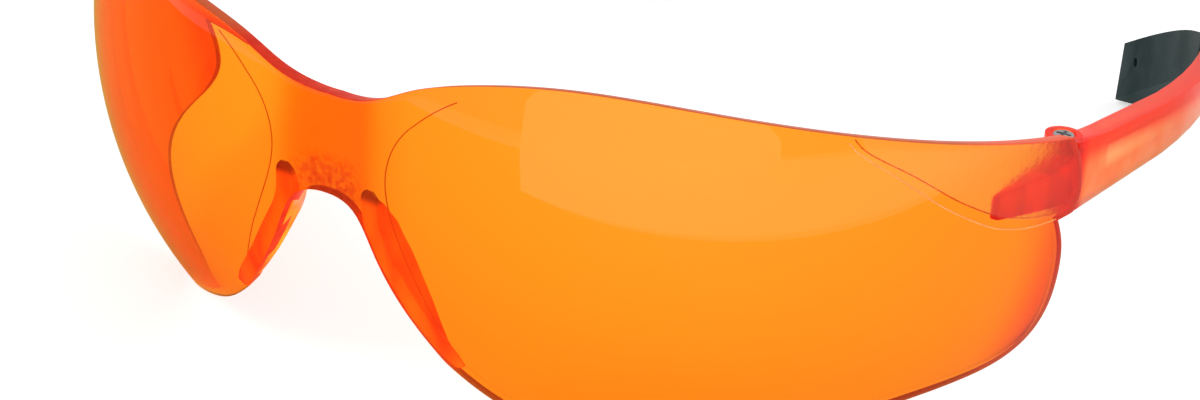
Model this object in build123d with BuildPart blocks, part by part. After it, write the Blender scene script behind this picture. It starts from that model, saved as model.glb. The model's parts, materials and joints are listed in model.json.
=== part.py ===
from build123d import *
from math import asin, cos, degrees, radians, sin, sqrt
import os

# Wraparound safety glasses: a one-piece lens, two temple arms, two rubber tips and two hinge screws.
# Millimetres. X runs across the face, -Y is the front, +Y runs along the temples, +Z is up.
# The glasses stand on Z = 0, on the lens's lower rim and the rear ends of the tips.
# A setback is a distance behind the foremost point of the lens.

# Lens: two ball-shaped lobes side by side, joined by a shallow valley
lens_radius = 60.0
lens_wall = 2.2
lobe_offset = 13.9
lobe_height = 31.3
draft_azimuth = 35.0
valley_radius = 30.0
bridge_wall = 2.6
bridge_azimuth = 4.0

# Rims of the right half: (azimuth in degrees round the lobe, height above the ground)
top_rim = [(-18.5, 42.6), (-13.6, 42.0), (-8.7, 42.6), (-4.6, 44.2), (-0.6, 46.1), (6.7, 48.1),
           (17.0, 49.3), (30.0, 48.6), (48.0, 45.8), (67.0, 42.2), (79.6, 39.8)]
end_rim = [(79.6, 39.8), (81.2, 36.6), (81.9, 33.8), (81.8, 31.4), (80.8, 29.9)]
notch_corner = (77.8, 29.9)
lower_rim = [notch_corner, (79.9, 25.7), (81.4, 20.5), (82.2, 15.6), (81.2, 12.0), (77.0, 9.9),
             (70.0, 9.3), (61.0, 8.7), (50.0, 6.0), (34.0, 0.11), (20.0, 2.0), (10.0, 5.4),
             (4.6, 8.7), (1.8, 11.0)]
nose_rim = [(1.8, 11.0), (-2.6, 17.0), (-5.9, 22.8), (-8.0, 27.2), (-10.0, 29.1), (-13.36, 29.7),
            (-17.0, 29.1)]

# Nose flanges
flange_wall = 2.4
flange_splay = 8.0
flange_top = (6.4, 31.9)
flange_reach = 15.0
flange_rear = [(1.4, 33.2), (3.4, 30.0), (4.7, 27.0), (5.3, 23.0), (5.2, 17.6), (4.6, 12.0), (3.6, 8.0)]

# Hinge knuckle on the lens, and its web to the wall
hinge_inset = 3.55
hinge_behind = 1.45
knuckle_radius = 1.6
knuckle_bottom = 31.2
knuckle_height = 5.2
web_reach = 15.5
web_root = 0.4
web_rear = 2.6
web_nose_low = 32.7
web_nose_height = 2.9

# Hinge ears on the temple, and clearances
ear_radius = 2.2
ear_bottom = 29.2
ear_top = 38.3
ear_gap = 0.25
slot_gap = 0.2
slot_reach = 6.0
joint_gap = 0.65

# Hinge screw
screw_radius = 0.8
head_radius = 1.3
head_height = 0.8
head_clearance = 0.1
head_recess = 0.05
head_round = 0.15
running_clearance = 0.05
thread_bite = 0.05
screw_end_cover = 0.8
screw_point = 0.5
cross_width = 0.4
cross_length = 1.8
cross_depth = 0.5

# Temples: the outer face's path in plan, then the side outline as (distance behind the start, height)
temple_thickness = 2.8
temple_overhang = 2.5
temple_lead = 5.0
temple_flare = 4.9
temple_straight = 27.7
bend_radius = 115.0
bend_angle = 46.3
top_line = [(0, 39.1), (22.0, 36.0), (44.0, 33.9), (65.3, 31.0), (86.6, 24.4)]
lower_line = [(0, 29.6), (22.0, 28.2), (44.0, 27.4), (65.5, 24.9), (86.6, 16.7)]
end_top = 8.9
end_low = -1.13
recess_depth = 1.2
recess_margin = 2.3
recess_start = 13.0
recess_end = 60.0

# Tips
tip_start = 69.0
tip_growth = 0.3
tip_gap = 0.05
core_length = 28.0
core_thickness = 1.4
core_margin = 1.9
core_overlap = 2.0
tip_heel = 2.6
tip_toe = 1.5
cord_hole_radius = 0.8
cord_hole_inset = 4.5
cord_hole_height = 9.5

# Derived places: half the depth lies in front of the origin
wall_end_azimuth, wall_end_height = end_rim[2]
level_at_end = sqrt(lens_radius ** 2 - (wall_end_height - lobe_height) ** 2)
hinge_x = lobe_offset + level_at_end * sin(radians(wall_end_azimuth)) - hinge_inset
hinge_setback = lens_radius - level_at_end * cos(radians(wall_end_azimuth)) + hinge_behind
temple_start_x = hinge_x + temple_overhang
temple_start_setback = hinge_setback - temple_lead
half_turn = radians(temple_flare)
end_heading = bend_angle - temple_flare
bend_start_x = temple_start_x + temple_straight * sin(half_turn)
bend_start_setback = temple_start_setback + temple_straight * cos(half_turn)
tip_end_setback = bend_start_setback + bend_radius * (sin(radians(end_heading)) + sin(half_turn))
front_y = -tip_end_setback / 2
top_edge = [(temple_start_setback + run, height) for run, height in top_line]
top_edge.append((tip_end_setback, end_top))
lower_edge = [(temple_start_setback + run, height) for run, height in lower_line]
lower_edge.append((tip_end_setback, end_low))
recess_front = temple_start_setback + recess_start
recess_rear = temple_start_setback + recess_end
tip_front = temple_start_setback + tip_start
lobe_y = front_y + lens_radius
lobe_centre = Vector(lobe_offset, lobe_y, lobe_height)
draft = Vector(sin(radians(draft_azimuth)), -cos(radians(draft_azimuth)), 0)
across_draft = Vector(cos(radians(draft_azimuth)), sin(radians(draft_azimuth)), 0)
hinge_y = front_y + hinge_setback
knuckle_top = knuckle_bottom + knuckle_height
head_top = ear_top - head_recess
screw_foot = ear_bottom + screw_end_cover
above_all = 60.0


def on_lobe(azimuth, height):
    # a point of the right lobe's outer face
    rise = height - lobe_height
    level_radius = sqrt(lens_radius ** 2 - rise ** 2)
    turn = radians(azimuth)
    return lobe_centre + Vector(level_radius * sin(turn), -level_radius * cos(turn), rise)


def wall_x(y, depth):
    # where the lobe's section at mid height lies at that y, that deep under the outer face
    return lobe_offset + sqrt((lens_radius - depth) ** 2 - (lobe_y - y) ** 2)


def rim_points(rim, reach):
    # a rim as seen from the lobe's centre, on a plane square to the draft at that reach
    points = []
    for azimuth, height in rim:
        ray = on_lobe(azimuth, height) - lobe_centre
        scale = reach / ray.dot(draft)
        points.append((ray.dot(across_draft) * scale, ray.Z * scale))
    return points


def rim_face(reach):
    # the outline of the right half on that plane, run a little past the mirror plane
    with BuildSketch(Plane(lobe_centre + draft * reach, across_draft, draft)) as face:
        with BuildLine():
            top = Spline(*rim_points(top_rim, reach))
            Spline(*rim_points(end_rim, reach))
            Line(*rim_points([end_rim[-1], notch_corner], reach))
            Spline(*rim_points(lower_rim, reach))
            nose = Spline(*rim_points(nose_rim, reach))
            Line(nose @ 1, top @ 0)
        make_face()
    return face.sketch


def path_at(setback):
    # the temple's outer path at that setback: its x and its heading towards the middle, in degrees
    if setback <= bend_start_setback:
        run = setback - temple_start_setback
        return temple_start_x + run * sin(half_turn) / cos(half_turn), -temple_flare
    turn = asin((setback - bend_start_setback) / bend_radius - sin(half_turn))
    return bend_start_x - bend_radius * (cos(half_turn) - cos(turn)), degrees(turn)


def plane_across(setback):
    # a plane square to the temple at that setback, facing the rear
    x, heading = path_at(setback)
    rearwards = (-sin(radians(heading)), cos(radians(heading)), 0)
    return Plane((x, front_y + setback, 0), z_dir=rearwards)


def temple_blank(inset, thickness, margin, start=None, end=None):
    # a length of the right temple, so far under its outer face and its upper and lower edges
    ahead = Vector(sin(half_turn), cos(half_turn))
    inwards = Vector(-cos(half_turn), sin(half_turn))
    foot = Vector(temple_start_x, front_y + temple_start_setback)
    with BuildPart() as blank:
        with BuildSketch():
            with BuildLine():
                outer_foot = foot + inwards * inset
                inner_foot = outer_foot + inwards * thickness
                outer = Line(outer_foot, outer_foot + ahead * temple_straight)
                inner = Line(inner_foot, inner_foot + ahead * temple_straight)
                outer_bend = JernArc(outer @ 1, ahead, bend_radius - inset, bend_angle)
                inner_bend = JernArc(inner @ 1, ahead, bend_radius - inset - thickness, bend_angle)
                Line(outer @ 0, inner @ 0)
                Line(outer_bend @ 1, inner_bend @ 1)
            make_face()
        extrude(amount=above_all)
        with BuildSketch(Plane.YZ):
            with BuildLine():
                top = Spline(*[(front_y + setback, height - margin) for setback, height in top_edge])
                low = Spline(*[(front_y + setback, height + margin) for setback, height in lower_edge])
                Line(top @ 0, low @ 0)
                Line(top @ 1, low @ 1)
            outline = make_face()
            if end is None:
                fillet(outline.vertices().group_by(Axis.X)[-1].sort_by(Axis.Y)[-1], tip_heel)
                fillet(outline.vertices().sort_by(Axis.Y)[0], tip_toe)
        extrude(amount=2 * above_all, mode=Mode.INTERSECT)
        if start is not None:
            split(bisect_by=plane_across(start), keep=Keep.TOP)
        if end is not None:
            split(bisect_by=plane_across(end), keep=Keep.BOTTOM)
    return blank.part


def write(piece, name):
    piece.part.label = name
    export_step(piece.part, "parts/" + name + ".step")


os.makedirs("parts", exist_ok=True)

# The lobes' full body, turned about the line through both centres
valley_y = lobe_y - sqrt((lens_radius + valley_radius) ** 2 - lobe_offset ** 2)
touch_angle = degrees(asin((lobe_y - valley_y) / (lens_radius + valley_radius)))
lobes_axis = Axis((0, lobe_y, lobe_height), (1, 0, 0))

with BuildPart() as envelope:
    with BuildSketch(Plane.XY.offset(lobe_height)):
        with BuildLine():
            right = CenterArc((lobe_offset, lobe_y), lens_radius, 180 + touch_angle, 180 - touch_angle)
            CenterArc((0, valley_y), valley_radius, touch_angle, 180 - 2 * touch_angle)
            left = CenterArc((-lobe_offset, lobe_y), lens_radius, 180, 180 - touch_angle)
            Line(left @ 0, right @ 1)
        make_face()
    revolve(axis=lobes_axis)

# The space inside the wall, cut short behind the bridge to leave it thicker
inner_radius = lens_radius - lens_wall
inner_start = 270 + bridge_azimuth

with BuildPart() as hollow:
    with BuildSketch(Plane.XY.offset(lobe_height)):
        with BuildLine():
            right = CenterArc((lobe_offset, lobe_y), inner_radius, inner_start, 360 - inner_start)
            left = CenterArc((-lobe_offset, lobe_y), inner_radius, 180, 360 - inner_start)
            ThreePointArc(left @ 1, (0, valley_y + valley_radius + bridge_wall), right @ 0)
            Line(left @ 0, right @ 1)
        make_face()
    revolve(axis=lobes_axis)

# A nose flange: a plate behind the nose rim, splayed outwards to lie on the side of the nose
splay = radians(flange_splay)
flange_plane = Plane((0, front_y, 0), x_dir=(cos(splay), -sin(splay), 0),
                     z_dir=(-sin(splay), -cos(splay), 0))
flange_path = [(flange_top[0], flange_top[1])]
for azimuth, height in reversed(nose_rim[:4]):
    rim_point = on_lobe(azimuth, height)
    along = rim_point.X * cos(splay) - (rim_point.Y - front_y) * sin(splay)
    flange_path.append((along + flange_wall / 2, height))

with BuildPart() as nose_flange:
    with BuildSketch(flange_plane):
        with BuildLine():
            run = Spline(*flange_path)
        trace(run, line_width=flange_wall)
    extrude(amount=-flange_reach)
    with BuildSketch(Plane.YZ):
        with BuildLine():
            rear = Spline(*[(front_y + setback, height) for setback, height in flange_rear])
            Polyline(rear @ 0, (front_y, flange_rear[0][1]), (front_y, flange_rear[-1][1]), rear @ 1)
        make_face()
    extrude(amount=above_all, mode=Mode.INTERSECT)
    add(envelope.part, mode=Mode.INTERSECT)

# The hinge knuckle and the web that ties it to the wall
with BuildPart() as knuckle:
    with BuildSketch(Plane.XY.offset(knuckle_bottom)):
        web_front_y = hinge_y - web_reach
        web_end_y = hinge_y - web_rear
        mid_y = (web_front_y + web_end_y) / 2
        wall_middle = lens_wall / 2
        with BuildLine():
            arc = ThreePointArc((wall_x(web_front_y, wall_middle), web_front_y),
                                (wall_x(mid_y, wall_middle), mid_y),
                                (wall_x(web_end_y, wall_middle), web_end_y))
            Polyline(arc @ 1, (hinge_x, web_end_y), (hinge_x, hinge_y), (hinge_x - knuckle_radius, hinge_y),
                     (wall_x(web_front_y, lens_wall + web_root), web_front_y), arc @ 0)
        make_face()
        with Locations((hinge_x, hinge_y)):
            Circle(knuckle_radius)
            Circle(screw_radius + running_clearance, mode=Mode.SUBTRACT)
    extrude(amount=knuckle_height)
    with BuildSketch(Plane.YZ):
        with BuildLine():
            Polyline((web_front_y, web_nose_low), (web_end_y, knuckle_bottom),
                     (hinge_y + ear_radius, knuckle_bottom), (hinge_y + ear_radius, knuckle_top),
                     (web_end_y, knuckle_top), (web_front_y, web_nose_low + web_nose_height), close=True)
        make_face()
    extrude(amount=2 * above_all, mode=Mode.INTERSECT)

# The lens: wall and flange trimmed to the rim, room for the ears, then the knuckle, mirrored
with BuildPart() as lens:
    add(envelope.part)
    add(hollow.part, mode=Mode.SUBTRACT)
    add(nose_flange.part)
    with BuildSketch(Plane.XY.offset(ear_bottom - ear_gap)):
        with Locations((hinge_x, hinge_y)):
            Circle(ear_radius + ear_gap)
    extrude(amount=above_all, mode=Mode.SUBTRACT)
    loft([rim_face(lens_radius * 0.3), rim_face(lens_radius * 1.2)], ruled=True, mode=Mode.INTERSECT)
    split(bisect_by=Plane.YZ, keep=Keep.TOP)
    add(knuckle.part)
    mirror(about=Plane.YZ)
write(lens, "lens")

# Right temple arm: a band with two hinge ears in front and a flat core for the tip behind
slot_radius = knuckle_radius + slot_gap

with BuildPart() as right_temple_arm:
    add(temple_blank(0, temple_thickness, 0, end=tip_front))
    with BuildSketch(Plane.YZ):
        with BuildLine():
            joint = Spline(*[(on_lobe(azimuth, height).Y + joint_gap, height)
                             for azimuth, height in end_rim])
            Polyline(joint @ 0, joint @ 0 + Vector(0, 3), (front_y, above_all), (front_y, 0),
                     joint @ 1 - Vector(0, 4), joint @ 1)
        make_face()
    extrude(amount=2 * above_all, mode=Mode.SUBTRACT)
    with BuildSketch(Plane.XY.offset(ear_bottom)):
        with Locations((hinge_x, hinge_y)):
            Circle(ear_radius)
    extrude(amount=ear_top - ear_bottom)
    with BuildSketch(Plane.XY.offset(knuckle_bottom - ear_gap)):
        with Locations((hinge_x, hinge_y)):
            Circle(slot_radius)
        with BuildLine():
            Polyline((hinge_x + slot_radius, hinge_y), (hinge_x + slot_radius, hinge_y - slot_reach),
                     (hinge_x - slot_reach, hinge_y - slot_reach),
                     (hinge_x - slot_reach, hinge_y + slot_radius), (hinge_x, hinge_y + slot_radius),
                     (hinge_x, hinge_y), close=True)
        make_face()
    extrude(amount=knuckle_height + 2 * ear_gap, mode=Mode.SUBTRACT)
    add(temple_blank(temple_thickness - recess_depth, 2 * recess_depth, recess_margin,
                     recess_front, recess_rear), mode=Mode.SUBTRACT)
    add(temple_blank((temple_thickness - core_thickness) / 2, core_thickness, core_margin,
                     tip_front - core_overlap, tip_front + core_length))
    with BuildSketch(Plane.XY):
        with Locations((hinge_x, hinge_y)):
            Circle(screw_radius - thread_bite)
    extrude(amount=above_all, mode=Mode.SUBTRACT)
    with BuildSketch(Plane.XY.offset(knuckle_top)):
        with Locations((hinge_x, hinge_y)):
            Circle(screw_radius + running_clearance)
    extrude(amount=above_all, mode=Mode.SUBTRACT)
    with BuildSketch(Plane.XY.offset(head_top - head_height)):
        with Locations((hinge_x, hinge_y)):
            Circle(head_radius + head_clearance)
    extrude(amount=above_all, mode=Mode.SUBTRACT)
write(right_temple_arm, "right_temple_arm")

# Right tip: a rubber sleeve over the core, with a cord hole near its end
hole_x, hole_heading = path_at(tip_end_setback - cord_hole_inset)
hole_heading = radians(hole_heading)
hole_axis = (cos(hole_heading), sin(hole_heading), 0)
hole_centre = (hole_x, front_y + tip_end_setback - cord_hole_inset, cord_hole_height)

with BuildPart() as right_temple_tip:
    add(temple_blank(-tip_growth, temple_thickness + 2 * tip_growth, -tip_growth, start=tip_front + tip_gap))
    add(temple_blank((temple_thickness - core_thickness) / 2 - tip_gap, core_thickness + 2 * tip_gap,
                     core_margin - tip_gap, tip_front - core_overlap, tip_front + core_length + tip_gap),
        mode=Mode.SUBTRACT)
    with BuildSketch(Plane(hole_centre, z_dir=hole_axis)):
        Circle(cord_hole_radius)
    extrude(amount=3 * temple_thickness, both=True, mode=Mode.SUBTRACT)
write(right_temple_tip, "right_temple_tip")

# Right hinge screw: a cross-head screw, threaded into the lower ear
with BuildPart() as right_hinge_screw:
    with BuildSketch(Plane.XY.offset(head_top)):
        with Locations((hinge_x, hinge_y)):
            Circle(head_radius)
    extrude(amount=-head_height)
    with BuildSketch(Plane.XY.offset(head_top)):
        with Locations((hinge_x, hinge_y)):
            Circle(screw_radius)
    extrude(amount=-(head_top - screw_foot))
    chamfer(right_hinge_screw.edges().sort_by(Axis.Z)[0], screw_point)
    fillet(right_hinge_screw.edges().filter_by(GeomType.CIRCLE).sort_by(Axis.Z)[-1], head_round)
    with BuildSketch(Plane.XY.offset(head_top)):
        with Locations((hinge_x, hinge_y)):
            Rectangle(cross_length, cross_width)
            Rectangle(cross_width, cross_length)
    extrude(amount=-cross_depth, mode=Mode.SUBTRACT)
write(right_hinge_screw, "right_hinge_screw")

# The left side mirrors the right
for name, right_piece in [("left_temple_arm", right_temple_arm), ("left_temple_tip", right_temple_tip),
                          ("left_hinge_screw", right_hinge_screw)]:
    with BuildPart() as left_piece:
        mirror(right_piece.part, about=Plane.YZ)
    write(left_piece, name)
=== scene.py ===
import json
from math import asin, cos, pi, radians, sin, sqrt
import bmesh
import bpy
import numpy as np
from mathutils import Matrix, Vector


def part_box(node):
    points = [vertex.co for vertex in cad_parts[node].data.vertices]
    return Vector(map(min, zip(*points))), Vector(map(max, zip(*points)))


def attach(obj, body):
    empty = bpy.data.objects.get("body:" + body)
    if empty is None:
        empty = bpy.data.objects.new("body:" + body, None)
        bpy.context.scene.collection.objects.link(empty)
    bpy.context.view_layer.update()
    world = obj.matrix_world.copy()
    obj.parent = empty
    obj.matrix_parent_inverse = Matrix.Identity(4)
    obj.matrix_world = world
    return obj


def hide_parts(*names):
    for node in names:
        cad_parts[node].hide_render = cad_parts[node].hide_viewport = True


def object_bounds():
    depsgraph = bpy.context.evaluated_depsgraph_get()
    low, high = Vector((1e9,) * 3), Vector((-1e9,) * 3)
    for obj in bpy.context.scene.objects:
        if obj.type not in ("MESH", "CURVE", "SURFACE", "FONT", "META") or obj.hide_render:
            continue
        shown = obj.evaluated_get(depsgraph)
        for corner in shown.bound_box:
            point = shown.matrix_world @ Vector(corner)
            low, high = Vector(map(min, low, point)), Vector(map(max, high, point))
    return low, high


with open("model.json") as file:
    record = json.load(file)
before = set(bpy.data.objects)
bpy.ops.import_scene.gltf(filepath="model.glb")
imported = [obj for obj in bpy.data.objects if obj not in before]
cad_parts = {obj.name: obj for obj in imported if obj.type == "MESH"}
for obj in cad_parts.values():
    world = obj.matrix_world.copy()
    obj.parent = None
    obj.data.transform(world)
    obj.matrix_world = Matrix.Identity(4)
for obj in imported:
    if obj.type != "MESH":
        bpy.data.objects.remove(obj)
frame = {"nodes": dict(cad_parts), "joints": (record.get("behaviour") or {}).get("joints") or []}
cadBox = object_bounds()
print("frame loaded")

hinge = next(j for j in frame["joints"] if j["name"] == "right_temple_fold")["pos_m"]
armStartY = hinge[1] - 0.005
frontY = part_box("lens")[0][1]  # foremost point of the lens; a setback is measured back from it


def evenly(points, count):
    # count points at even spacing along the line through the given ones
    run = np.concatenate([[0], np.cumsum(np.linalg.norm(np.diff(points, axis=0), axis=1))])
    wanted = np.linspace(0, run[-1], count)
    return np.stack([np.interp(wanted, run, points[:, k]) for k in range(points.shape[1])], axis=1)


def curveThrough(points, count):
    # count points along a smooth curve through the given ones, evenly spaced
    pts = np.array(points, float)
    steps = np.sqrt(np.linalg.norm(np.diff(pts, axis=0), axis=1))
    knots = np.concatenate([[0], np.cumsum(steps)])
    size = len(pts)
    left = np.eye(size)
    right = np.zeros_like(pts)
    gaps = np.diff(knots)
    for i in range(1, size - 1):
        left[i, i - 1:i + 2] = gaps[i - 1], 2 * (gaps[i - 1] + gaps[i]), gaps[i]
        right[i] = 6 * ((pts[i + 1] - pts[i]) / gaps[i] - (pts[i] - pts[i - 1]) / gaps[i - 1])
    bend = np.linalg.solve(left, right)

    def at(t):
        i = min(max(int(np.searchsorted(knots, t)) - 1, 0), size - 2)
        a = (knots[i + 1] - t) / gaps[i]
        b = 1 - a
        lift = ((a ** 3 - a) * bend[i] + (b ** 3 - b) * bend[i + 1]) * gaps[i] ** 2 / 6
        return a * pts[i] + b * pts[i + 1] + lift

    tries = 400  # close enough together to be measured as straight steps
    return evenly(np.array([at(t) for t in np.linspace(0, knots[-1], tries)]), count)


def placed(name, mesh):
    piece = bpy.data.objects.new(name, mesh)
    bpy.context.scene.collection.objects.link(piece)
    return piece


def finishMesh(name, bm, material, smoothBelow, merge=1e-6):
    # closes off a bmesh as an object, with smooth faces and sharp corners
    bmesh.ops.remove_doubles(bm, verts=bm.verts, dist=merge)
    bmesh.ops.recalc_face_normals(bm, faces=bm.faces)
    mesh = bpy.data.meshes.new(name)
    bm.to_mesh(mesh)
    bm.free()
    for face in mesh.polygons:
        face.use_smooth = True
    mesh.set_sharp_from_angle(angle=radians(smoothBelow))
    mesh.materials.append(material)
    return placed(name, mesh)


def onFront(piece):
    # a piece of the lens moulding
    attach(piece, "front")


def toSide(bm, side):
    # a piece is made on the right; the left one is turned over
    if side < 0:
        for vert in bm.verts:
            vert.co.x = -vert.co.x


def thicken(bm, moveInner):
    # gives a sheet its wall: the copied side goes where moveInner says
    grown = bmesh.ops.extrude_face_region(bm, geom=bm.faces[:], use_keep_orig=True)
    for vert in [item for item in grown["geom"] if isinstance(item, bmesh.types.BMVert)]:
        vert.co = moveInner(vert.co)
    bmesh.ops.recalc_face_normals(bm, faces=bm.faces)


def roundEdges(bm, width, segments, sharperThan=45):
    edges = [e for e in bm.edges if len(e.link_faces) == 2 and e.calc_face_angle() > radians(sharperThan)]
    bmesh.ops.bevel(bm, geom=edges, affect="EDGES", offset=width, offset_type="OFFSET", segments=segments,
                    profile=0.5, material=-1, clamp_overlap=True)


def mirrored(bm):
    # adds the other half across the middle plane
    bmesh.ops.mirror(bm, geom=bm.verts[:] + bm.edges[:] + bm.faces[:], matrix=Matrix.Identity(4),
                     merge_dist=1e-6, axis="X")


def newMaterial(name):
    material = bpy.data.materials.new(name)
    material.use_nodes = True
    nodes = material.node_tree.nodes
    return material, nodes, material.node_tree.links, nodes["Principled BSDF"]


def ranged(nodes, links, value, low=0.0, high=1.0, toLow=0.0, toHigh=1.0, soft=False):
    # a value brought from one range to another, held at its ends
    step = nodes.new("ShaderNodeMapRange")
    if soft:
        step.interpolation_type = "SMOOTHSTEP"
    for socket, number in (("From Min", low), ("From Max", high), ("To Min", toLow), ("To Max", toHigh)):
        step.inputs[socket].default_value = number
    links.new(value, step.inputs["Value"])
    return step.outputs["Result"]


def noise(nodes, links, vector, scale, detail=2):
    texture = nodes.new("ShaderNodeTexNoise")
    texture.inputs["Scale"].default_value = scale
    texture.inputs["Detail"].default_value = detail
    links.new(vector, texture.inputs["Vector"])
    return texture.outputs["Fac"]


def setAll(shader, **values):
    # numbers that are the same all over, each set on the shader's own socket
    sockets = {"clear": "Transmission Weight", "bend": "IOR", "rough": "Roughness", "shine": "Specular IOR Level",
               "sheen": "Specular Tint", "glow": "Emission Strength", "metal": "Metallic"}
    for name, value in values.items():
        shader.inputs[sockets[name]].default_value = (*value, 1) if isinstance(value, tuple) else value


def withPaintedGlow(links, shader, colour):
    # the same colour by reflection and as a painted glow, given off though the plastic is no lamp
    links.new(colour, shader.inputs["Base Color"])
    links.new(colour, shader.inputs["Emission Color"])


def roughened(nodes, links, shader, height, depth, strength):
    bump = nodes.new("ShaderNodeBump")
    bump.inputs["Distance"].default_value = depth
    if isinstance(strength, float):
        bump.inputs["Strength"].default_value = strength
    else:
        links.new(strength, bump.inputs["Strength"])
    links.new(height, bump.inputs["Height"])
    links.new(bump.outputs["Normal"], shader.inputs["Normal"])


def filled(nodes, links, finish):
    # what the plastic takes out of the light that passes through it
    body = nodes.new("ShaderNodeVolumeAbsorption")
    body.inputs["Color"].default_value = (*finish["absorb"], 1)
    body.inputs["Density"].default_value = finish["density"]
    links.new(body.outputs["Volume"], nodes["Material Output"].inputs["Volume"])


def shaded(nodes, links, value, stops):
    # a colour ramp between two stops, each a place and a colour
    ramp = nodes.new("ShaderNodeValToRGB")
    for element, (position, colour) in zip(ramp.color_ramp.elements, stops):
        element.position = position
        element.color = (*colour, 1)
    links.new(value, ramp.inputs["Fac"])
    return ramp.outputs["Color"]


lensFinish = {
    "clear": (1.0, 0.97, 0.9), "hazed": (1.0, 1.0, 0.62), "deep": (1.0, 0.6, 0.1), "stipple": (0.75, 0.16, 0.05),
    "absorb": (0.998, 0.735, 0.0), "density": 1900.0, "ior": 1.53, "gloss": 0.012, "frost": 0.24,
    "sheen": (1.0, 0.72, 0.4), "shine": 0.3, "endHaze": 0.96, "band": (0.9, 0.45, 0.32),
    "hinge": (0.95, 0.12, 0.05), "grain": 1200.0, "specksFrom": 0.42, "specksTo": 0.58,
    "endsFrom": -0.1, "endsTo": 0.25, "bumpDepth": 0.00006, "bumpStrength": 0.8,
}


def pickedOut(nodes, links, name, low=0.0, high=1.0):
    # a stored measure of the surface, turned into a soft mask
    stored = nodes.new("ShaderNodeAttribute")
    stored.attribute_name = name
    return ranged(nodes, links, stored.outputs["Fac"], low, high, soft=True)


def mixed(nodes, links, amount, first, second):
    # a colour mix; each side is a colour or a socket
    mix = nodes.new("ShaderNodeMix")
    mix.data_type = "RGBA"
    links.new(amount, mix.inputs[0])
    for socket, value in ((mix.inputs[6], first), (mix.inputs[7], second)):
        if isinstance(value, tuple):
            socket.default_value = (*value, 1)
        else:
            links.new(value, socket)
    return mix.outputs[2]


def combined(nodes, links, first, second, kind="MULTIPLY"):
    # two values by simple arithmetic; each side is a number or a socket
    step = nodes.new("ShaderNodeMath")
    step.operation = kind
    for socket, value in ((step.inputs[0], first), (step.inputs[1], second)):
        if isinstance(value, float):
            socket.default_value = value
        else:
            links.new(value, socket)
    return step.outputs[0]


def tintedPlastic():
    # clear orange polycarbonate: polished, but grained on the end-pieces and stippled above the nose arch
    material, nodes, links, shader = newMaterial("tintedPlastic")
    setAll(shader, clear=1.0, bend=lensFinish["ior"], sheen=lensFinish["sheen"], shine=lensFinish["shine"])
    place = nodes.new("ShaderNodeTexCoord").outputs["Object"]
    grain = noise(nodes, links, place, lensFinish["grain"], 3)
    ends = pickedOut(nodes, links, "endGrain", lensFinish["endsFrom"], lensFinish["endsTo"])
    stipple = pickedOut(nodes, links, "stipple")
    specks = ranged(nodes, links, grain, lensFinish["specksFrom"], lensFinish["specksTo"])
    dots = combined(nodes, links, specks, stipple)
    colour = mixed(nodes, links, pickedOut(nodes, links, "bridge"), lensFinish["clear"], lensFinish["deep"])
    colour = mixed(nodes, links, ends, colour, lensFinish["hazed"])
    colour = mixed(nodes, links, dots, colour, lensFinish["stipple"])
    colour = mixed(nodes, links, pickedOut(nodes, links, "hingeNear"), colour, lensFinish["hinge"])
    colour = mixed(nodes, links, pickedOut(nodes, links, "endBand"), colour, lensFinish["band"])
    links.new(colour, shader.inputs["Base Color"])
    clear = ranged(nodes, links, ends, toLow=1.0, toHigh=lensFinish["endHaze"])
    links.new(clear, shader.inputs["Transmission Weight"])
    matte = combined(nodes, links, ends, stipple, "MAXIMUM")
    rough = ranged(nodes, links, matte, toLow=lensFinish["gloss"], toHigh=lensFinish["frost"])
    links.new(rough, shader.inputs["Roughness"])
    strength = combined(nodes, links, ends, lensFinish["bumpStrength"])
    roughened(nodes, links, shader, grain, lensFinish["bumpDepth"], strength)
    filled(nodes, links, lensFinish)
    return material


rimFinish = {"red": (0.9, 0.05, 0.012), "dark": (0.5, 0.008, 0.004), "pale": (0.6, 0.09, 0.02),
             "end": (0.85, 0.11, 0.04), "rough": 0.35, "clear": 0.12, "glow": 0.3, "shine": 0.02,
             "grain": 700.0}


def rimPlastic():
    # the cut edge of the same plastic, where the colour gathers: red round the bridge, paler along the brow, with
    # a painted glow of its own
    material, nodes, links, shader = newMaterial("rimPlastic")
    place = nodes.new("ShaderNodeTexCoord").outputs["Object"]
    drift = noise(nodes, links, place, rimFinish["grain"], 3)
    deep = mixed(nodes, links, drift, rimFinish["dark"], rimFinish["red"])
    colour = mixed(nodes, links, pickedOut(nodes, links, "redness"), rimFinish["pale"], deep)
    colour = mixed(nodes, links, pickedOut(nodes, links, "rimEnd"), colour, rimFinish["end"])
    withPaintedGlow(links, shader, colour)
    setAll(shader, glow=rimFinish["glow"], rough=rimFinish["rough"], shine=rimFinish["shine"],
           clear=rimFinish["clear"], bend=lensFinish["ior"])
    return material


mouldFinish = {"flange": {"first": (0.95, 0.05, 0.003), "second": (1.0, 0.34, 0.01), "capLow": 0.0297,
                          "capHigh": 0.0312, "shares": (1.0, 0.6, 0.3), "glow": 0.45},
               "web": {"first": (0.6, 0.003, 0.001), "second": (1.0, 0.02, 0.002), "capLow": 0.05,
                       "capHigh": 0.06, "shares": (0.8, 0.8, 0.4), "glow": 0.36},
               "cap": (0.3, 0.003, 0.003),
               "rough": 0.16, "clear": 0.3, "shine": 0.3, "streak": 240.0, "streakFrom": 0.35,
               "streakTo": 0.65}


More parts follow.
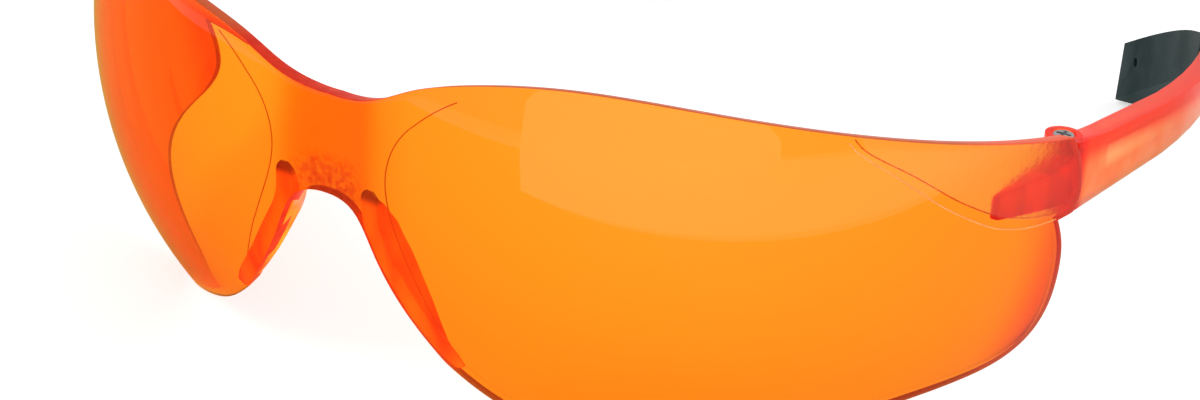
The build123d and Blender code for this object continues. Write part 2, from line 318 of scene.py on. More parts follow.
def mouldedPlastic(name, first, second, capLow, capHigh, shares, glow):
    # thick plastic of the flanges and webs, streaked red and orange, darkest at its cap, with a painted glow;
    # shares weigh the streaks
    material, nodes, links, shader = newMaterial(name)
    place = nodes.new("ShaderNodeTexCoord").outputs["Object"]
    stretch = nodes.new("ShaderNodeMapping")
    stretch.inputs["Scale"].default_value = shares
    links.new(place, stretch.inputs["Vector"])
    streaks = noise(nodes, links, stretch.outputs["Vector"], mouldFinish["streak"])
    spread = ranged(nodes, links, streaks, mouldFinish["streakFrom"], mouldFinish["streakTo"])
    parts = nodes.new("ShaderNodeSeparateXYZ")
    links.new(place, parts.inputs["Vector"])
    cap = ranged(nodes, links, parts.outputs["Z"], capLow, capHigh, soft=True)
    colour = mixed(nodes, links, spread, first, second)
    withPaintedGlow(links, shader, mixed(nodes, links, cap, colour, mouldFinish["cap"]))
    setAll(shader, glow=glow, shine=mouldFinish["shine"], rough=mouldFinish["rough"], clear=mouldFinish["clear"],
           bend=lensFinish["ior"])
    return material


armFinish = {
    "top": (1.0, 0.16, 0.04), "patch": (1.0, 0.74, 0.28), "joint": (0.9, 0.05, 0.02), "jointFull": 0.0048,
    "jointNone": 0.0068, "middle": (1.0, 1.0, 0.5), "low": (1.0, 1.0, 0.85), "sheen": (1.0, 0.6, 0.35),
    "absorb": (0.999, 0.3, 0.0), "density": 520.0, "glow": 0.09, "shine": 0.3, "ior": 1.45,
    "mottle": 160.0, "mottleFrom": 0.36, "mottleTo": 0.6, "bumpDepth": 0.0001, "bumpStrength": 0.15,
    "smoothest": 0.33 * 0.8, "roughest": 0.33 * 1.3, "grain": 900.0,
    "bandFrom": 0.0014, "bandTo": 0.0042, "lowFrom": 0.0075, "lowTo": 0.0092,
    # how far the upper edge drops along the arm, as (run from, run to, drop)
    "drops": [(0.0, 0.022, 0.0031), (0.022, 0.0653, 0.005), (0.0653, 0.0866, 0.0066)], "topAtStart": 0.0391,
}


def belowTopEdge(nodes, links, parts):
    # how far a point of an arm lies under the arm's upper edge
    height = parts.outputs["Z"]
    for start, stop, drop in armFinish["drops"]:
        step = ranged(nodes, links, parts.outputs["Y"], armStartY + start, armStartY + stop, toHigh=drop)
        height = combined(nodes, links, height, step, "ADD")
    return combined(nodes, links, armFinish["topAtStart"], height, "SUBTRACT")


def frostedPlastic():
    # the arms' frosted translucent plastic: a red band under the top edge, orange below it, pink at the foot, with
    # a faint painted glow
    material, nodes, links, shader = newMaterial("frostedPlastic")
    setAll(shader, clear=1.0, bend=armFinish["ior"], sheen=armFinish["sheen"], shine=armFinish["shine"])
    place = nodes.new("ShaderNodeTexCoord").outputs["Object"]
    parts = nodes.new("ShaderNodeSeparateXYZ")
    links.new(place, parts.inputs["Vector"])
    grain = noise(nodes, links, place, armFinish["grain"], 4)
    patches = noise(nodes, links, place, armFinish["mottle"])
    under = belowTopEdge(nodes, links, parts)
    band = ranged(nodes, links, under, armFinish["bandFrom"], armFinish["bandTo"], soft=True)
    foot = ranged(nodes, links, under, armFinish["lowFrom"], armFinish["lowTo"], soft=True)
    patched = ranged(nodes, links, patches, armFinish["mottleFrom"], armFinish["mottleTo"], soft=True)
    behind = ranged(nodes, links, parts.outputs["Y"], armStartY + armFinish["jointFull"],
                    armStartY + armFinish["jointNone"], soft=True)
    colour = mixed(nodes, links, patched, armFinish["patch"], armFinish["middle"])
    colour = mixed(nodes, links, band, armFinish["top"], colour)
    colour = mixed(nodes, links, foot, colour, armFinish["low"])
    withPaintedGlow(links, shader, mixed(nodes, links, behind, armFinish["joint"], colour))
    setAll(shader, glow=armFinish["glow"])
    rough = ranged(nodes, links, grain, toLow=armFinish["smoothest"], toHigh=armFinish["roughest"])
    links.new(rough, shader.inputs["Roughness"])
    roughened(nodes, links, shader, grain, armFinish["bumpDepth"], armFinish["bumpStrength"])
    filled(nodes, links, armFinish)
    return material


tipFinish = {"dark": (0.010, 0.026, 0.027), "light": (0.034, 0.056, 0.058), "darkAt": 0.35, "lightAt": 0.7,
             "rough": 0.55, "mottle": 90, "grain": 1800.0, "sheen": 0.03, "bumpDepth": 0.0001, "bumpStrength": 0.3}


def gripRubber():
    # slate-grey rubber, softly mottled, with a fine matte grain
    material, nodes, links, shader = newMaterial("gripRubber")
    place = nodes.new("ShaderNodeTexCoord").outputs["Object"]
    mottle = noise(nodes, links, place, tipFinish["mottle"], 5)
    stops = (tipFinish["darkAt"], tipFinish["dark"]), (tipFinish["lightAt"], tipFinish["light"])
    links.new(shaded(nodes, links, mottle, stops), shader.inputs["Base Color"])
    setAll(shader, rough=tipFinish["rough"], shine=tipFinish["sheen"])
    grain = noise(nodes, links, place, tipFinish["grain"])
    roughened(nodes, links, shader, grain, tipFinish["bumpDepth"], tipFinish["bumpStrength"])
    return material


screwFinish = {"steel": (0.62, 0.63, 0.64), "worn": (0.4, 0.41, 0.42), "wornAt": 0.0, "steelAt": 0.6,
               "rough": 0.28, "wear": 700}


def screwSteel():
    # bright steel, a little worn
    material, nodes, links, shader = newMaterial("screwSteel")
    place = nodes.new("ShaderNodeTexCoord").outputs["Object"]
    wear = noise(nodes, links, place, screwFinish["wear"], 6)
    stops = (screwFinish["wornAt"], screwFinish["worn"]), (screwFinish["steelAt"], screwFinish["steel"])
    links.new(shaded(nodes, links, wear, stops), shader.inputs["Base Color"])
    setAll(shader, metal=1.0, rough=screwFinish["rough"])
    return material


# each line has a colour and how clear its gaps are
lineFinish = {"dark": ((0.62, 0.17, 0.03), 0.3), "dotted": ((0.6, 0.16, 0.05), 1.0),
              "pale": ((0.9, 0.34, 0.08), 0.5), "speckle": 1600, "lighter": 1.6, "glow": 0.2, "rough": 0.4,
              "gapsFrom": 0.45, "gapsTo": 0.52, "solid": 0.3}


def mouldLine(name, colour, broken):
    # the fine line left where two areas of the mould meet, uneven along its length, with a painted glow
    material, nodes, links, shader = newMaterial(name)
    place = nodes.new("ShaderNodeTexCoord").outputs["Object"]
    speckle = noise(nodes, links, place, lineFinish["speckle"])
    lighter = tuple(min(1, part * lineFinish["lighter"]) for part in colour)
    withPaintedGlow(links, shader, mixed(nodes, links, speckle, colour, lighter))
    setAll(shader, glow=lineFinish["glow"], rough=lineFinish["rough"])
    gaps = ranged(nodes, links, speckle, lineFinish["gapsFrom"], lineFinish["gapsTo"], broken, lineFinish["solid"])
    links.new(gaps, shader.inputs["Transmission Weight"])
    return material


lensMaterial = tintedPlastic()
rimMaterial = rimPlastic()
flangeMaterial = mouldedPlastic("flangePlastic", **mouldFinish["flange"])
webMaterial = mouldedPlastic("webPlastic", **mouldFinish["web"])
darkLine = mouldLine("darkMouldLine", *lineFinish["dark"])
dottedLine = mouldLine("dottedMouldLine", *lineFinish["dotted"])
paleLine = mouldLine("paleMouldLine", *lineFinish["pale"])
armMaterial = frostedPlastic()
rubberMaterial = gripRubber()
steelMaterial = screwSteel()
print("materials ready")


lensShape = {
    "radius": 0.060, "wall": 0.0022, "lobeX": 0.0139, "lobeZ": 0.0313, "valleyRadius": 0.030,
    "bridgeX": 0.0125, "bridgeFull": 0.003, "bridgeExtra": 0.0005, "edgeRound": 0.00042,
    "columns": 130, "lowRows": 24, "highRows": 12, "endColumns": 4, "rimPoints": 1500, "endPoints": 300,
    "rowSpread": 0.6, "rimTurn": 0.94, "edgeSegments": 3, "smoothBelow": 40,
    # rims as (azimuth in degrees round the lobe, height in mm)
    "top": [(-18.5, 42.6), (-13.6, 42.0), (-8.7, 42.6), (-4.6, 44.2), (-0.6, 46.1), (6.7, 48.1), (17.0, 49.3),
            (30.0, 48.6), (48.0, 45.8), (67.0, 42.2), (79.6, 39.8)],
    "end": [(80.8, 29.9), (81.8, 31.4), (81.9, 33.8), (81.2, 36.6), (79.6, 39.8)],
    "lower": [(1.8, 11.0), (4.6, 8.7), (10.0, 5.4), (20.0, 2.0), (34.0, 0.11), (50.0, 6.0), (61.0, 8.7),
              (70.0, 9.3), (77.0, 9.9), (81.2, 12.0), (82.2, 15.6), (81.4, 20.5), (79.9, 25.7), (77.8, 29.9)],
    "cornerAzimuth": 80.2,
    "nose": [(-17.0, 29.1), (-13.36, 29.7), (-10.0, 29.1), (-8.0, 27.2), (-5.9, 22.8), (-2.6, 17.0), (1.8, 11.0)],
}
radius = lensShape["radius"]
lobeX = lensShape["lobeX"]
lobeZ = lensShape["lobeZ"]
lobeY = frontY + radius
valleyRadius = lensShape["valleyRadius"]
valleyY = lobeY - sqrt((radius + valleyRadius) ** 2 - lobeX ** 2)
touchX = lobeX * valleyRadius / (radius + valleyRadius)
perDegree = 1000 * radius * pi / 180  # mm of arc to a degree of azimuth


def outerReach(x):
    # distance of the outer face from the lobes' axis at that x
    if x > touchX:
        return sqrt(radius ** 2 - (x - lobeX) ** 2)
    return lobeY - valleyY - sqrt(valleyRadius ** 2 - x ** 2)


innerRadius = radius - lensShape["wall"]
innerTouchX = lobeX * (valleyRadius + lensShape["wall"]) / (radius + valleyRadius)


def innerReach(x):
    # the same for the inner face: even with the outer one, and thicker behind the bridge
    if x > innerTouchX:
        reach = sqrt(innerRadius ** 2 - (x - lobeX) ** 2)
    else:
        reach = lobeY - valleyY - sqrt((valleyRadius + lensShape["wall"]) ** 2 - x ** 2)
    nearness = min(1, max(0, (lensShape["bridgeX"] - x) / (lensShape["bridgeX"] - lensShape["bridgeFull"])))
    return reach - lensShape["bridgeExtra"] * nearness ** 2 * (3 - 2 * nearness)


def onReach(footX, through, reach, ball, ballFrom):
    # where the ray from the lobes' axis at footX, through that point, meets the face
    # the face is a ball beyond ballFrom
    centre = Vector((lobeX, lobeY, lobeZ))
    onBall = centre + (through - centre).normalized() * ball
    if onBall.x > ballFrom:
        return onBall
    radial = sqrt((through.y - lobeY) ** 2 + (through.z - lobeZ) ** 2)
    scale = 1.0
    for _ in range(15):  # settles in far fewer rounds
        scale = reach(max(footX + scale * (through.x - footX), 0)) / radial
    return Vector((footX + scale * (through.x - footX), lobeY + scale * (through.y - lobeY),
                   lobeZ + scale * (through.z - lobeZ)))


def onLens(azimuth, height):
    # a point of the outer face of the right half, from degrees and millimetres
    rise = height / 1000 - lobeZ
    level = sqrt(radius ** 2 - rise ** 2)
    turn = radians(azimuth)
    ball = Vector((lobeX + level * sin(turn), lobeY - level * cos(turn), height / 1000))
    return onReach(lobeX, ball, outerReach, radius, touchX)


def throughWall(outer):
    # the inner face's point behind a point of the outer face
    outside = Vector((abs(outer.x), outer.y, outer.z))
    side = onReach(min(abs(outer.x), lobeX), outside, innerReach, innerRadius, lensShape["bridgeX"])
    return Vector((side.x if outer.x >= 0 else -side.x, side.y, side.z))


def middleAzimuth(height):
    # the azimuth at which the middle plane lies at that height
    rise = height / 1000 - lobeZ
    shrink = outerReach(0) / sqrt(radius ** 2 - lobeX ** 2)
    return -asin(lobeX / shrink / sqrt(radius ** 2 - rise ** 2)) * 180 / pi


def rim(name, count, shape=lensShape):
    # a border of the lens as (arc round the lobe, height), both in mm
    return curveThrough([(a * perDegree, h) for a, h in shape[name]], count)


def lensBorders():
    # the main patch's four borders, each running away from the lower inner corner
    top = rim("top", lensShape["rimPoints"])
    start = middleAzimuth(top[0, 1]) * perDegree
    notch = lensShape["lower"][-1]
    top = top[(top[:, 0] >= start) & (top[:, 0] <= notch[0] * perDegree)]
    nose = rim("nose", lensShape["rimPoints"])
    nose = nose[nose[:, 0] >= middleAzimuth(nose[0, 1]) * perDegree]
    lower = rim("lower", lensShape["rimPoints"])
    corner = int(np.argmax(lower[:, 0] > lensShape["cornerAzimuth"] * perDegree))
    columns = lensShape["columns"]
    bottom = evenly(np.concatenate([nose[:-1], lower[:corner + 1]]), columns + 1)
    top = evenly(top, columns + 1)
    side = evenly(lower[corner:], lensShape["lowRows"] + 1)
    stem = np.linspace(side[-1], top[-1], lensShape["highRows"] + 1)
    right = np.concatenate([side[:-1], stem])
    share = np.linspace(0, 1, len(right))
    # wider rows beside the rims leave room for their rounding
    share = share + lensShape["rowSpread"] * np.sin(2 * pi * share) / (2 * pi)
    left = bottom[0] + np.outer(share, top[0] - bottom[0])
    return bottom, top, left, right


def patchPoint(u, v, borders):
    # a Coons patch between the borders
    bottom, top, left, right = borders
    i = round(u * (len(bottom) - 1))
    j = round(v * (len(left) - 1))
    sides = (1 - v) * bottom[i] + v * top[i] + (1 - u) * left[j] + u * right[j]
    corners = (1 - u) * (1 - v) * bottom[0] + u * (1 - v) * bottom[-1] + (1 - u) * v * top[0] + u * v * top[-1]
    return sides - corners


def lensSheet():
    # the outer face of both halves
    bm = bmesh.new()
    borders = lensBorders()
    columns = lensShape["columns"]
    rows = lensShape["lowRows"] + lensShape["highRows"]
    bmesh.ops.create_grid(bm, x_segments=columns, y_segments=rows, size=0.5)
    for vert in bm.verts:
        u, v = vert.co.x + 0.5, vert.co.y + 0.5
        flat = patchPoint(u, v, borders)
        vert.co = onLens(flat[0] / perDegree, flat[1])
        if u < 0.5 / columns:
            vert.co = Vector((0, lobeY - sqrt(outerReach(0) ** 2 - (vert.co.z - lobeZ) ** 2), vert.co.z))
    # the end-piece beyond the notch
    stem = borders[3][lensShape["lowRows"]:]
    end = evenly(rim("end", lensShape["endPoints"]), lensShape["highRows"] + 1)
    extra = bmesh.ops.create_grid(bm, x_segments=lensShape["endColumns"], y_segments=lensShape["highRows"],
                                  size=0.5)
    for vert in extra["verts"]:
        u, v = vert.co.x + 0.5, vert.co.y + 0.5
        j = round(v * lensShape["highRows"])
        flat = (1 - u) * stem[j] + u * end[j]
        vert.co = onLens(flat[0] / perDegree, flat[1])
    bmesh.ops.remove_doubles(bm, verts=bm.verts, dist=1e-5)
    mirrored(bm)
    return bm


def isRim(face):
    # a rim face looks along the wall, and the others look through it
    x = abs(face.center.x)
    across = Vector((x - min(x, lobeX), face.center.y - lobeY, face.center.z - lobeZ)).normalized()
    if face.center.x < 0:
        across.x = -across.x
    return abs(face.normal.dot(across)) < lensShape["rimTurn"]


def lensPiece():
    bm = lensSheet()
    thicken(bm, throughWall)
    roundEdges(bm, lensShape["edgeRound"], lensShape["edgeSegments"])
    piece = finishMesh("lensWall", bm, lensMaterial, lensShape["smoothBelow"])
    piece.data.materials.append(rimMaterial)
    for face in piece.data.polygons:
        if isRim(face):
            face.material_index = 1
    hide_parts("lens")
    return piece


# where the clear zone ends at the end-piece, and where the bridge is deep orange and stippled, in mm
zones = {
    "end": [(48.6, 47.5), (48.9, 45.5), (49.6, 44.2), (51.2, 43.0), (56.0, 40.2), (61.2, 36.7), (64.8, 34.6),
            (68.7, 32.7), (74.0, 31.2), (77.1, 30.6), (84.0, 29.6)],
    "rearHeights": [9.9, 12.0, 15.6, 20.5, 25.7, 29.9], "rearAzimuths": [77.0, 81.2, 82.2, 81.4, 79.9, 77.8],
    "hingeRed": 1.0, "hingeClear": 13.0, "hingeShare": 0.85, "bandFull": 0.8, "bandNone": 2.6,
    "bandTop": (27.5, 29.5), "bandFoot": (9.5, 13.0),
    "rimRed": 12.0, "rimPale": 17.0, "rimEndFrom": 64.0, "rimEndTo": 68.0,
    "bridgeDeep": 4.5, "bridgeClear": 8.5, "stippleFull": 3.0, "stippleHalf": 6.0, "stippleLow": 30.0,
    "stippleHigh": 32.6, "stippleFade": 2.2,
}


def fadeOut(value, full, none):
    return min(1.0, max(0.0, (none - value) / (none - full)))


def markZones(piece):
    # stores, at each point of the lens, how far inside each zone it lies; the materials read these
    edge = np.array([(a * perDegree, h) for a, h in zones["end"]])
    starts, steps = edge[:-1], np.diff(edge, axis=0)
    names = ("endGrain", "bridge", "stipple", "redness", "rimEnd", "endBand", "hingeNear")
    for name in names:
        piece.data.attributes.new(name, "FLOAT", "POINT")
    stored = {name: piece.data.attributes[name] for name in names}
    for i, vert in enumerate(piece.data.vertices):
        x, y, z = abs(vert.co.x), vert.co.y, vert.co.z * 1000
        fromMiddle = x * 1000
        spot = np.array([np.arctan2(x - lobeX, lobeY - y) * 180 / pi * perDegree, z])
        along = np.clip(((spot - starts) * steps).sum(1) / (steps ** 2).sum(1), 0, 1)
        distance = np.linalg.norm(starts + along[:, None] * steps - spot, axis=1).min()
        inside = spot[0] > edge[0, 0] and spot[1] > np.interp(spot[0], edge[:, 0], edge[:, 1])
        rearEdge = np.interp(z, zones["rearHeights"], zones["rearAzimuths"]) * perDegree
        beyond = max(zones["stippleLow"] - z, z - zones["stippleHigh"], 0)
        values = {
            "endGrain": distance if inside else -distance,
            "bridge": fadeOut(fromMiddle, zones["bridgeDeep"], zones["bridgeClear"]),
            "stipple": (fadeOut(beyond, 0, zones["stippleFade"]) *
                        fadeOut(fromMiddle, zones["stippleFull"], zones["stippleHalf"])),
            "redness": fadeOut(fromMiddle, zones["rimRed"], zones["rimPale"]),
            "rimEnd": 1 - fadeOut(fromMiddle, zones["rimEndFrom"], zones["rimEndTo"]),
            "endBand": (fadeOut(rearEdge - spot[0], zones["bandFull"], zones["bandNone"]) *
                        fadeOut(z, *zones["bandTop"]) * (1 - fadeOut(z, *zones["bandFoot"]))),
            "hingeNear": zones["hingeShare"] * fadeOut((hinge[1] - y) * 1000, zones["hingeRed"],
                                                       zones["hingeClear"]),
        }
        for name, value in values.items():
            stored[name].data[i].value = value


lensWall = lensPiece()
markZones(lensWall)
onFront(lensWall)
print("lens wall made")


lineShape = {
    "width": 0.00007, "paleWidth": 0.0001, "zonePoints": 70, "endPoints": 60,
    # round the clear zone beside the bridge, as (x, height) in mm
    "zone": [(17.9, 45.6), (15.4, 44.0), (11.2, 40.2), (9.25, 36.6), (8.8, 33.6), (9.1, 31.1), (10.0, 28.1),
             (12.7, 21.6), (15.2, 15.5), (16.6, 12.2)],
    # beside the end-piece, as (azimuth, height)
    "end": [(48.9, 45.0), (49.6, 44.2), (51.2, 43.0), (56.0, 40.2), (61.2, 36.7), (64.8, 34.6), (68.7, 32.7),
            (74.0, 31.2), (77.1, 30.6), (79.6, 30.4)],
    "pale": [(47.7, 45.0), (48.2, 44.4), (49.1, 43.6), (53.6, 40.5), (58.6, 36.8), (63.5, 33.8), (67.3, 32.0),
             (72.3, 30.8), (77.0, 30.35)],
}


def linePiece(name, spots, width, material):
    # a hair-fine round bead along smooth points
    curve = bpy.data.curves.new(name, "CURVE")
    curve.dimensions = "3D"
    curve.bevel_depth = width
    curve.bevel_resolution = 1
    curve.use_fill_caps = True
    spline = curve.splines.new("POLY")
    spline.points.add(len(spots) - 1)
    for point, spot in zip(spline.points, spots):
        point.co = (*spot, 1)
    draft = bpy.data.objects.new(name + "Draft", curve)
    mesh = bpy.data.meshes.new_from_object(draft)
    bpy.data.objects.remove(draft)
    for face in mesh.polygons:
        face.use_smooth = True
    mesh.materials.clear()
    mesh.materials.append(material)
    onFront(placed(name, mesh))


def zoneSpot(x, z):
    # a point of the inner face, from millimetres
    x, z = x / 1000, z / 1000
    return throughWall(Vector((x, lobeY - sqrt(outerReach(x) ** 2 - (z - lobeZ) ** 2), z)))


for side, word in ((1, "right"), (-1, "left")):
    flip = Vector((side, 1, 1))
    zone = [zoneSpot(x, z) * flip for x, z in curveThrough(lineShape["zone"], lineShape["zonePoints"])]
    linePiece(word + "ZoneLine", zone, lineShape["width"], darkLine)
    ends = [onLens(a / perDegree, h) for a, h in rim("end", lineShape["endPoints"], lineShape)]
    linePiece(word + "EndLine", [throughWall(spot) * flip for spot in ends], lineShape["width"], dottedLine)
    pale = [onLens(a / perDegree, h) for a, h in rim("pale", lineShape["endPoints"], lineShape)]
    linePiece(word + "PaleLine", [spot * flip for spot in pale], lineShape["paleWidth"], paleLine)
print("mould lines made")


flangeShape = {"wall": 0.0024, "splay": 8.0, "topX": 0.0064, "topZ": 0.0319, "bury": 0.0009,
               # how far the rear edge lies behind the lens's foremost point, as (height, setback) in mm
               "rear": [(33.2, 1.4), (30.0, 3.4), (27.0, 4.7), (23.0, 5.3), (17.6, 5.2), (12.0, 4.6), (8.0, 3.6)],
               "rows": 50, "columns": 8, "edgeRound": 0.0007, "endRound": 0.0016, "lowRound": 0.005,
               "endLeft": 0.12, "depthLeft": 0.3, "leastDepth": 0.0008, "edgeSegments": 3, "sharperThan": 50,
               "smoothBelow": 45}


def flangePiece(side):
    # a thin fin behind the nose edge, leaning outwards, with its two ends rounded off
    shape = flangeShape
    line = [(shape["topX"], shape["topZ"])]
    for azimuth, height in lensShape["nose"][3:]:
        spot = onLens(azimuth, height)
        line.append((spot.x + shape["wall"] / 2, spot.z))
    line = curveThrough(line, shape["rows"] + 1)
    lean = np.gradient(line, axis=0)
    lean /= np.linalg.norm(lean, axis=1)[:, None]
    splay = radians(shape["splay"])
    run = np.concatenate([[0], np.cumsum(np.linalg.norm(np.diff(line, axis=0), axis=1))])
    ends = np.minimum(run / shape["endRound"], (run[-1] - run) / shape["lowRound"])
    rounded = np.sqrt(1 - (1 - np.clip(shape["endLeft"] + ends, 0, 1)) ** 2)
    rear = np.array(sorted(shape["rear"]))
    bm = bmesh.new()
    bmesh.ops.create_grid(bm, x_segments=shape["columns"], y_segments=shape["rows"], size=0.5)
    outwards = {}
    for vert in bm.verts:
        u, v = vert.co.x + 0.5, vert.co.y + 0.5
        k = round(v * shape["rows"])
        x, z = line[k]
        across = Vector((-lean[k, 1], 0, lean[k, 0])) * rounded[k]
        x -= across.x * shape["wall"] / 2
        z -= across.z * shape["wall"] / 2
        front = lobeY - sqrt(outerReach(max(x, 0)) ** 2 - (z - lobeZ) ** 2) + shape["bury"]
        back = frontY + np.interp(z * 1000, rear[:, 0], rear[:, 1]) / 1000
        back = front + (back - front) * (shape["depthLeft"] + (1 - shape["depthLeft"]) * rounded[k])
        y = front + u * max(back - front, shape["leastDepth"])
        vert.co = (x + (y - frontY) * sin(splay), y, z)
        outwards[tuple(round(c, 7) for c in vert.co)] = across
    thicken(bm, lambda spot: spot + outwards[tuple(round(c, 7) for c in spot)] * shape["wall"])
    roundEdges(bm, shape["edgeRound"], shape["edgeSegments"], shape["sharperThan"])
    toSide(bm, side)
    name = "rightFlange" if side > 0 else "leftFlange"
    onFront(finishMesh(name, bm, flangeMaterial, shape["smoothBelow"]))


for side in (1, -1):
    flangePiece(side)
print("nose flanges made")


knuckleShape = {"radius": 0.0016, "low": 0.0312, "high": 0.0364, "webReach": 0.0155, "noseLow": 0.0327,
                "noseHigh": 0.0356, "webRear": 0.0026, "webSteps": 12, "webSunk": 0.6, "webNose": 0.0004,
                "round": 40, "edgeRound": 0.00025, "edgeSegments": 2, "smoothBelow": 40}


def innerX(y, depth):
    # how far out the ball lies at y, that deep under its outer face
    return lobeX + sqrt((radius - depth) ** 2 - (lobeY - y) ** 2)


def knuckleHub():
    shape = knuckleShape
    bm = bmesh.new()
    hub = bmesh.ops.create_cone(bm, cap_ends=True, segments=shape["round"], radius1=shape["radius"],
                                radius2=shape["radius"], depth=shape["high"] - shape["low"])
    bmesh.ops.translate(bm, verts=hub["verts"], vec=(hinge[0], hinge[1], (shape["low"] + shape["high"]) / 2))
    return bm


def knuckleWeb():
    # the web from the lens wall back to the hub, lower at its nose
    shape = knuckleShape
    bm = bmesh.new()
    frontEdge = hinge[1] - shape["webReach"]
    rearEdge = hinge[1] - shape["webRear"]
    outline = []
    for k in range(shape["webSteps"] + 1):
        y = frontEdge + (rearEdge - frontEdge) * k / shape["webSteps"]
        outline.append((innerX(y, lensShape["wall"] * shape["webSunk"]), y))
    outline += [(hinge[0], rearEdge), (hinge[0], hinge[1]), (hinge[0] - shape["radius"], hinge[1]),
                (innerX(frontEdge, lensShape["wall"] + shape["webNose"]), frontEdge)]
    bm.faces.new([bm.verts.new((x, y, 0)) for x, y in outline])
    grown = bmesh.ops.extrude_face_region(bm, geom=bm.faces[:], use_keep_orig=True)
    upper = {item for item in grown["geom"] if isinstance(item, bmesh.types.BMVert)}
    for vert in bm.verts:
        nose, rear = ("noseHigh", "high") if vert in upper else ("noseLow", "low")
        t = min(1, (vert.co.y - frontEdge) / (rearEdge - frontEdge))
        vert.co.z = shape[nose] + (shape[rear] - shape[nose]) * t
    bmesh.ops.recalc_face_normals(bm, faces=bm.faces)
    return bm


for side, word in ((1, "right"), (-1, "left")):
    for label, bm in (("Knuckle", knuckleHub()), ("Web", knuckleWeb())):
        roundEdges(bm, knuckleShape["edgeRound"], knuckleShape["edgeSegments"])
        toSide(bm, side)
        onFront(finishMesh(word + label, bm, webMaterial, knuckleShape["smoothBelow"]))
print("knuckles made")


softness = {"arm": 0.00045, "tip": 0.0009, "segments": 4, "merge": 2e-7, "flat": 2.0, "lastMerge": 1e-8,
            "sharperThan": 38}


def softened(node, name, body, material, width):
    # a merged copy of a node with its edges rounded, in the node's place
    source = frame["nodes"][node]
    bm = bmesh.new()
    bm.from_mesh(source.data)
    bm.transform(source.matrix_world)
    bmesh.ops.remove_doubles(bm, verts=bm.verts, dist=softness["merge"])
    bmesh.ops.dissolve_limit(bm, angle_limit=radians(softness["flat"]), verts=bm.verts, edges=bm.edges)
    roundEdges(bm, width, softness["segments"], softness["sharperThan"])
    bmesh.ops.delete(bm, geom=[e for e in bm.edges if not e.link_faces], context="EDGES")
    piece = finishMesh(name, bm, material, softness["sharperThan"], softness["lastMerge"])
    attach(piece, body)
    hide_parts(node)
    loose = bmesh.new()
    loose.from_mesh(piece.data)
    print(name, len(loose.faces), "faces,", sum(not e.is_manifold for e in loose.edges), "open edges")
    loose.free()


for word in ("left", "right"):
    temple = word + "_temple"
    softened(temple + "_arm", word + "Arm", temple, armMaterial, softness["arm"])
    softened(temple + "_tip", word + "Tip", temple, rubberMaterial, softness["tip"])
    screw = frame["nodes"][word + "_hinge_screw"]
    screw.data.materials.clear()
    screw.data.materials.append(steelMaterial)
print("arms and tips made")


stageSet = {"floor": 6.0, "floorColour": (0.93, 0.93, 0.93), "matte": 0.9, "glow": 0.52, "world": 0.55,
            "floorUnder": 0.0003, "middle": (0, 0, 0.03),
            "keyPower": 1.5, "keySize": 0.5, "keyPlace": (-0.35, -0.55, 0.75),
            "rimPower": 0.8, "rimSize": 0.35, "rimPlace": (0.6, 0.35, 0.5)}


def plainPiece(name, bm, material):
    mesh = bpy.data.meshes.new(name)
    bm.to_mesh(mesh)
    bm.free()
    mesh.materials.append(material)
    piece = placed(name, mesh)
    return piece


def onlyReflected(card):
    # seen in the glossy faces alone, so that the floor stays plain from everywhere
    card.visible_camera = False
    card.visible_diffuse = False
    card.visible_transmission = False
    card.visible_shadow = False


def lit(shader, strength):
    # a pale surface with some light of its own
    setAll(shader, glow=strength)
    shader.inputs["Base Color"].default_value = (*stageSet["floorColour"], 1)
    shader.inputs["Emission Color"].default_value = (1, 1, 1, 1)


def makeFloor():
    bm = bmesh.new()
    bmesh.ops.create_grid(bm, x_segments=1, y_segments=1, size=stageSet["floor"] / 2)
    material, nodes, links, shader = newMaterial("paleFloor")
    lit(shader, stageSet["glow"])
    setAll(shader, rough=stageSet["matte"])
    plainPiece("floor", bm, material).location.z = cadBox[0][2] - stageSet["floorUnder"]


# each edge of the card as its left and right ends
cardSet = {"near": [(0.006, -0.230), (0.9, 0.5)], "far": [(-0.13, -1.2), (1.4, -1.1)], "height": 1.0,
           "glow": 1.1, "under": 0.0002}


def makeCard():
    # a bright card before the glasses, flat and then standing: it gives the lens its soft reflection
    bm = bmesh.new()
    bmesh.ops.create_grid(bm, x_segments=1, y_segments=2, size=0.5)
    for vert in bm.verts:
        row = round((vert.co.y + 0.5) * 2)
        x, y = cardSet["near" if row == 0 else "far"][1 if vert.co.x > 0 else 0]
        vert.co = (x, y, cadBox[0][2] - cardSet["under"] + (cardSet["height"] if row == 2 else 0))
    material, nodes, links, shader = newMaterial("brightCard")
    lit(shader, cardSet["glow"])
    onlyReflected(plainPiece("frontCard", bm, material))


shadeSet = {
    "left": (0.98, 0.66, 0.14), "right": (0.42, 0.41, 0.4), "from": 0.02, "to": 0.11, "under": 0.0001,
    "near": [(-0.14, 0.1), (-0.06, -0.02), (-0.025, -0.05), (0.0, -0.05), (0.01, -0.05), (0.03, -0.05),
             (0.06, -0.03), (0.075, 0.02), (0.1, 0.12), (0.16, 0.3)],
    "far": [(-0.9, 0.62), (-0.9, -0.2), (-0.7, -0.75), (-0.048, -0.6), (0.008, -0.228), (0.045, -0.192),
            (0.12, -0.126), (0.187, -0.068), (0.32, 0.05), (0.6, 0.3)],
}


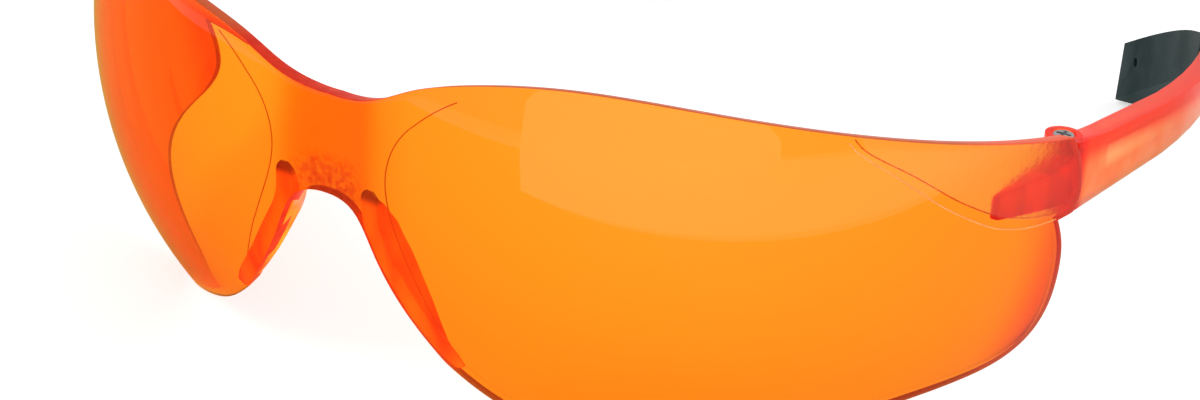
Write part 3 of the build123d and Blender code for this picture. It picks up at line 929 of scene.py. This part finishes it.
def makeShade():
    # a card on the floor, warm at the left and grey at the right, seen in reflections alone: a painted reflection
    # that keeps the lens's colour deep
    bm = bmesh.new()
    near, far = shadeSet["near"], shadeSet["far"]
    last = len(near) - 1
    bmesh.ops.create_grid(bm, x_segments=last, y_segments=1, size=0.5)
    for vert in bm.verts:
        k = round((vert.co.x + 0.5) * last)
        x, y = near[k] if vert.co.y > 0 else far[k]
        vert.co = (x, y, cadBox[0][2] - shadeSet["under"])
    material, nodes, links, shader = newMaterial("darkCard")
    parts = nodes.new("ShaderNodeSeparateXYZ")
    links.new(nodes.new("ShaderNodeTexCoord").outputs["Object"], parts.inputs["Vector"])
    across = ranged(nodes, links, parts.outputs["X"], shadeSet["from"], shadeSet["to"], soft=True)
    links.new(mixed(nodes, links, across, shadeSet["left"], shadeSet["right"]), shader.inputs["Base Color"])
    setAll(shader, rough=stageSet["matte"])
    onlyReflected(plainPiece("shadeCard", bm, material))


def addSoftbox(kind):
    # a soft square light, turned to the glasses
    light = bpy.data.lights.new(kind + "Light", "AREA")
    light.energy = stageSet[kind + "Power"]
    light.size = stageSet[kind + "Size"]
    lamp = placed(kind + "Light", light)
    lamp.location = stageSet[kind + "Place"]
    aim = Vector(stageSet["middle"]) - lamp.location
    lamp.rotation_euler = aim.to_track_quat("-Z", "Y").to_euler()


def makeLight():
    world = bpy.data.worlds.new("studio")
    bpy.context.scene.world = world
    world.use_nodes = True
    backdrop = world.node_tree.nodes["Background"]
    backdrop.inputs["Color"].default_value = (1, 1, 1, 1)
    backdrop.inputs["Strength"].default_value = stageSet["world"]
    addSoftbox("key")
    addSoftbox("rim")


cameraSet = {"x": 0.1335045, "behindFront": -0.1467969, "z": 0.1265839, "focal": 56.0, "sensor": 36.0,
             "near": 0.005,
             "right": (0.8313131, 0.5547925, 0.0335238), "up": (-0.2696283, 0.3498037, 0.8971834)}


def makeCamera():
    lens = bpy.data.cameras.new("camera")
    lens.lens = cameraSet["focal"]
    lens.sensor_width = cameraSet["sensor"]
    lens.clip_start = cameraSet["near"]
    camera = placed("camera", lens)
    right = Vector(cameraSet["right"]).normalized()
    back = right.cross(Vector(cameraSet["up"])).normalized()
    up = back.cross(right)
    turn = Matrix((right, up, back)).transposed().to_4x4()
    place = Vector((cameraSet["x"], frontY + cameraSet["behindFront"], cameraSet["z"]))
    camera.matrix_world = Matrix.Translation(place) @ turn
    bpy.context.scene.camera = camera


makeFloor()
makeCard()
makeShade()
makeLight()
makeCamera()
bpy.context.scene.view_settings.view_transform = "Standard"
print("stage set")
